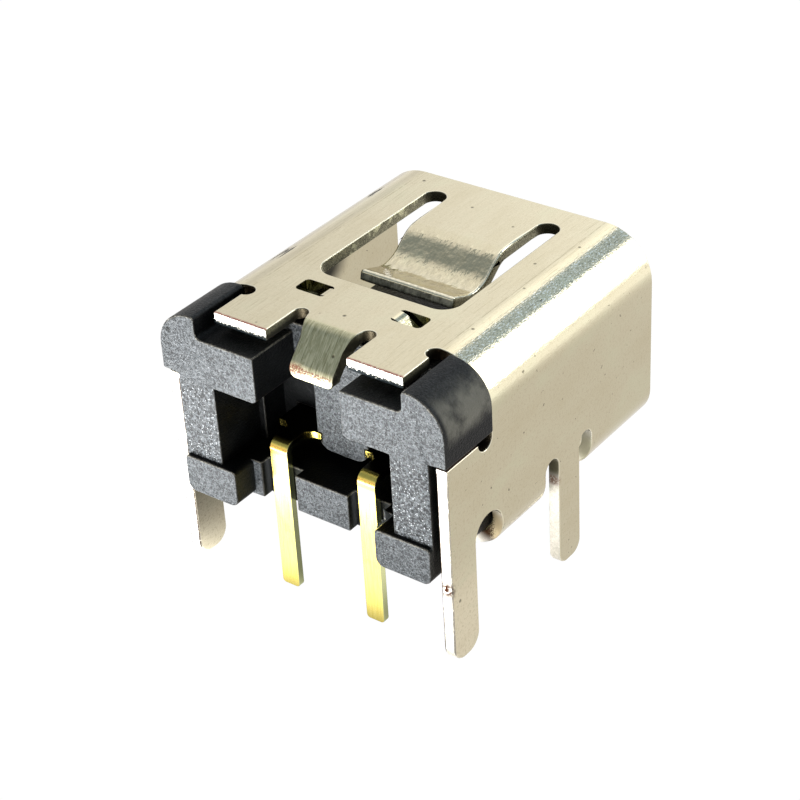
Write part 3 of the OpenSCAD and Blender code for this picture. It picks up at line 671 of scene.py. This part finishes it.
# A painted shadow: a broken dark line along the edges of the rear legs' backs, which the housing's columns
# shade.
leg_edge_shadow = (edge + rear_ends_lit * (1 - wide_x.step(3.735, 3.75))) * speckle.step(0.3, 0.5)
leg_edge_shadow = leg_edge_shadow * (1 - y.step(-4.19, -4.13)) * (1 - z.step(5.4, 5.5))
metal = (leg_edge_shadow * 0.7).mix(metal, LEG_EDGE_SHADOW)
tongue_rim = (1 - y.step(-3.84, -3.78)) * z.step(7.3, 7.34) * (1 - is_cut) * speckle.step(0.34, 0.48)
metal = (tongue_rim * 0.85).mix(metal, TONGUE_RIM)

rough = (lines * on_roof * 0.05 + clouds * 0.08 + 0.07) * (1 - tab) + tab * (0.24 + scratches * 0.1)
rough = rough * (1 - is_cut) + is_cut * (crumbs * 0.2 + 0.42) + rear_ends_lit * 0.16
relief = grain * (0.4 + strain * 0.45) + flecks * strained * 0.4 + ripples * spring * 5.0
relief = (relief - pits * 0.8 + scratches * tab) * (1 - is_cut)
relief = relief + crumbs * is_cut * 1.4
bump = place.node("ShaderNodeBump", None, {"Height": relief, "Strength": 0.4, "Distance": 0.012 * MM})
dirt_and_shadow = (scuffs + leg_edge_shadow * 0.6 + wall_rim + tongue_rim * 0.8 + rust * (1 - is_cut)).math("MINIMUM", 1.0)
rough = rough + dirt_and_shadow * 0.4
plug_in(shader, Base_Color=metal, Metallic=1 - dirt_and_shadow * 0.95, Roughness=rough, Normal=bump)
dress(plated_shell, nickel)

# %% [markdown]
# ## The moulded housing
# The housing is black plastic filled with short glass fibres. Where fibres reach the skin they show as pale
# grains, veins and specks. A grey colour would lose that, so the plastic stays black and a mark on each face
# says how much of the fibre shows. The mark follows the light, so the pale fibre is partly painted sheen:
# most to the rear, where the light comes from, a little on top of the ears, and none in the pockets, which
# stay black as painted shade. Edges that look up are painted paler, partly rubbing and partly a painted
# highlight.


# %% Soften the housing
def housing_tight_corners(x, y, z):
    """The step under each ear, thinner than two rounds."""
    return (np.abs(x) > 3.5) & (np.abs(x) < 3.75) & (z > 5.5) & (z < 5.8)


def lit_fibre_faces(x, y, z, nx, ny, nz):
    """How far fibres show in each face, which follows the light as a painted sheen: most on those that
    look to the rear, less on the tops of the ears. Faces deep in the pockets show none, which leaves them
    black as painted shade."""
    outer = (y < -3.3) & ~((np.abs(x) > 0.8) & (np.abs(x) < 2.04) & (z < 3.7))
    rib = (y < -2.6) & (np.abs(x) < 1.0)
    tops = (nz > 0.7) & (z > 6.0) & (y < -2.4)
    return np.maximum((ny < -0.7) & (outer | rib), tops * np.where(z > 6.9, 0.24, 0.15))


SIDE_EDGE_SHARE = 0.2
moulded_housing = softened("insulator_housing", "moulded_housing", EDGE_R, housing_tight_corners)
mark_edges(moulded_housing, SIDE_EDGE_SHARE)
mark_faces(moulded_housing, "lit_fibre_share", lit_fibre_faces(*face_table(moulded_housing)))

# %% Colours of the plastic
BLACK_DEEP = (0.0012, 0.0013, 0.0014, 1.0)
BLACK_PALE = (0.003, 0.0032, 0.0034, 1.0)
LIT_FIBRE_GRAIN = (0.076, 0.085, 0.092, 1.0)
LIT_FIBRE_VEIN = (0.24, 0.255, 0.265, 1.0)
FIBRE_GLINT = (0.42, 0.44, 0.45, 1.0)
EAR_MOTTLE = (0.12, 0.115, 0.093, 1.0)
POCKET_DARK = (0.16, 0.15, 0.08, 1.0)
POCKET_PALE = (0.42, 0.4, 0.22, 1.0)
EDGE_RUB_AND_HIGHLIGHT = (0.16, 0.148, 0.122, 1.0)
GLOSS_TINT = (0.95, 1.0, 1.02, 1.0)

# %% Colour the housing
plastic, shader, place = finish_start("glass_filled_plastic")
x, y, z = place.parts()
wide_x = x.math("ABSOLUTE")
edge, lit_fibre_share = place.mark("edge"), place.mark("lit_fibre_share")
pebbles = place.noise(15.0, 4.0, 0.65)
patches = place.noise(1.6, 3.0, 0.6)
fine = place.noise(24.0, 2.0, 0.6) + (patches - 0.5) * 0.3
coarse = place.noise(13.0, 3.0, 0.65)
far, pick = place.cells(15.0)
specks = (1 - far.step(0.1, 0.45)) * pick.step(0.7, 0.8)

black = patches.step(0.35, 0.7).mix(BLACK_DEEP, BLACK_PALE)
columns = wide_x.step(2.5, 2.55) * z.between(3.5, 5.5, 0.1)
# Grains, veins and sparks of fibre follow the face mark: partly fibre in the skin, partly painted sheen and
# painted glints where the light falls.
smooth_glitter = fine.step(0.3, 0.75) * 0.5 + specks * 0.35 + (coarse - 0.5) * 1.1 + 0.04
bold_glitter = coarse.step(0.45, 0.68) * 0.9 + specks * 0.25
glitter = (smooth_glitter * (1 - columns) + bold_glitter * columns) * lit_fibre_share
black = glitter.mix(black, LIT_FIBRE_GRAIN)
far, pick = place.cells(22.0)
veins = 1 - (place.noise(8.0, 4.0, 0.65) - 0.5).math("ABSOLUTE").step(0.01, 0.05)
black = (veins * lit_fibre_share * 0.22).mix(black, LIT_FIBRE_VEIN)
sparkle = (1 - far.step(0.12, 0.45)) * pick.step(0.72, 0.8) * lit_fibre_share * (0.22 + columns * 0.6)
black = sparkle.mix(black, FIBRE_GLINT)
print("fibres use", len(plastic.node_tree.nodes), "nodes")

# %% Paint the edges paler, rubbed and highlighted, and give the housing its gloss
mottled = place.noise(1.7, 4.0, 0.6).step(0.25, 0.65) * x.step(3.0, 3.5) * y.step(-4.25, -4.1)
black = (mottled * z.between(6.5, 6.95, 0.4)).mix(black, EAR_MOTTLE)
grime = wide_x.between(0.9, 1.85, 0.1) * y.between(-2.2, -1.3, 0.1) * z.step(6.3, 6.5)
black = grime.mix(black, fine.mix(POCKET_DARK, POCKET_PALE))
# Rounded edges are painted paler, most where they look up: partly rubbing, partly a painted highlight.
black = (edge * (0.2 + fine.step(0.42, 0.65) * 0.55)).mix(black, EDGE_RUB_AND_HIGHLIGHT)
lip_pit = place.near((-3.75, -4.32, 6.83), (0.1, 0.15, 0.09))
black = lip_pit.mix(black, grey(0.001))
rough = pebbles * 0.2 + patches * 0.1 + 0.25
bump = place.node("ShaderNodeBump", None, {"Height": pebbles, "Strength": 0.6, "Distance": 0.035 * MM})
plug_in(shader, Base_Color=black, Roughness=rough, Normal=bump, IOR=1.5)
plug_in(shader, Specular_IOR_Level=0.12, Specular_Tint=GLOSS_TINT)
dress(moulded_housing, plastic)

# %% [markdown]
# ## A sliver of flash
# Where the halves of a mould meet, a little plastic creeps between them and sets as a thin leaf, called
# flash. One leaf stands on the right block. It could be a cut-up plane, but a formula gives it a soft outline
# and two sides: one parameter runs along the block's edge, the other goes over the leaf from side to side.


# %% Leave a sliver of flash on the right block
BLOCK_TOP = 3.46
FLASH_X, FLASH_Y, FLASH_ROOT, FLASH_L = 2.075, -4.36, 3.44, 0.6


def flash_sliver(rows=41, columns=13):
    """A thin leaf along the block's inner top edge. One parameter runs along the edge, the other goes up
    one face of the leaf and down the other; the leaf's height is a low fringe with one tall peak, and it
    leans inwards by the square of the height."""
    along = np.linspace(0.0, 1.0, rows)[:, None]
    lap = np.linspace(-1.0, 1.0, columns)[None, :]
    up = 1 - np.abs(lap)
    peak = np.exp(-((along - 0.8) / 0.1) ** 2)
    height = (0.03 + 0.02 * np.sin(31.0 * along) + 0.17 * peak) * np.sin(math.pi * along) ** 0.4
    thick = 0.012 * (1 - up ** 4)
    x = FLASH_X - 0.9 * (height * up) - 2.0 * (height * up) ** 2 + np.sign(lap) * thick
    y = FLASH_Y + FLASH_L * along + 0.15 * height * up
    z = FLASH_ROOT + height * up
    return np.stack(np.broadcast_arrays(x, y, z), axis=-1)


flash_points = flash_sliver()
flash = bpy.data.objects.new("mould_flash", grid_mesh("mould_flash", flash_points))
scene.collection.objects.link(flash)
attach(flash, "root")
flash.data.polygons.foreach_set("use_smooth", np.ones(len(flash.data.polygons), bool))

HAZE_DARK, HAZE_PALE = (0.12, 0.125, 0.12, 1.0), (0.4, 0.41, 0.39, 1.0)
flash_plastic, shader, place = finish_start("thin_flash")
haze = place.noise(20.0, 3.0)
hazy = haze.mix(HAZE_DARK, HAZE_PALE)
plug_in(shader, Base_Color=hazy, Roughness=haze * 0.3 + 0.2)
dress(flash, flash_plastic)
print("flash stands", round(float(flash_points[..., 2].max()) - BLOCK_TOP, 2), "mm above the block")

# %% [markdown]
# ## The contacts
# Two strips are stamped, bent down at the rear and flashed with gold. Rubbing against the tool leaves
# faint lines along each pin, and the thin gold lets the base metal through at the bend.

# %% Colours of the gold
GOLD_DEEP = (0.9, 0.74, 0.17, 1.0)
GOLD_RUBBED = (1.0, 0.84, 0.24, 1.0)
GOLD_CLOUD = (0.8, 0.62, 0.12, 1.0)
GOLD_SHADED_TOP = (0.5, 0.4, 0.09, 1.0)
GOLD_THIN = (0.55, 0.26, 0.06, 1.0)
GOLD_FLANK = (0.7, 0.78, 0.45, 1.0)
GOLD_SHADE = (0.025, 0.02, 0.007, 1.0)

# %% Mix the gold
gold, shader, place = finish_start("gold_flash")
_, y, z = place.parts()
rubs = place.stretch(1.0, 1.0, 0.06).noise(26.0, 3.0, 0.6)
clouds = place.noise(2.5, 3.0, 0.6)
thin = z.between(3.86, 4.0, 0.08) * (1 - y.step(-3.6, -3.5))
tint = rubs.step(0.3, 0.7).mix(GOLD_DEEP, GOLD_RUBBED)
tint = (clouds.step(0.5, 0.75) * 0.5).mix(tint, GOLD_CLOUD)
# The strips above the bend, inside the housing, are painted darker olive as painted shade.
tint = (z.step(3.7, 3.9) * 0.7).mix(tint, GOLD_SHADED_TOP)
tint = (thin * 0.6).mix(tint, GOLD_THIN)
tint = (place.mark("flank") * 0.8).mix(tint, GOLD_FLANK)
deep = y.step(-3.55, -3.4) * z.step(3.9, 4.1) * (1 - place.mark("rear"))
tint = deep.mix(tint, GOLD_SHADE)
relief = place.node("ShaderNodeBump", None, {"Height": rubs, "Strength": 0.2, "Distance": 0.01 * MM})
plug_in(shader, Base_Color=tint, Metallic=1.0, Roughness=rubs * 0.12 + clouds * 0.1 + 0.1, Normal=relief)

# %% Soften and gild the contacts
CONTACT_EDGE_R, FACING = 0.025, 0.7
for side in ("left", "right"):
    contact = softened(side + "_contact", side + "_gold_contact", CONTACT_EDGE_R)
    mark_edges(contact)
    mark_faces(contact, "flank", np.abs(face_table(contact)[3]) > FACING)
    mark_faces(contact, "rear", face_table(contact)[4] < -FACING)
    dress(contact, gold)

# %% [markdown]
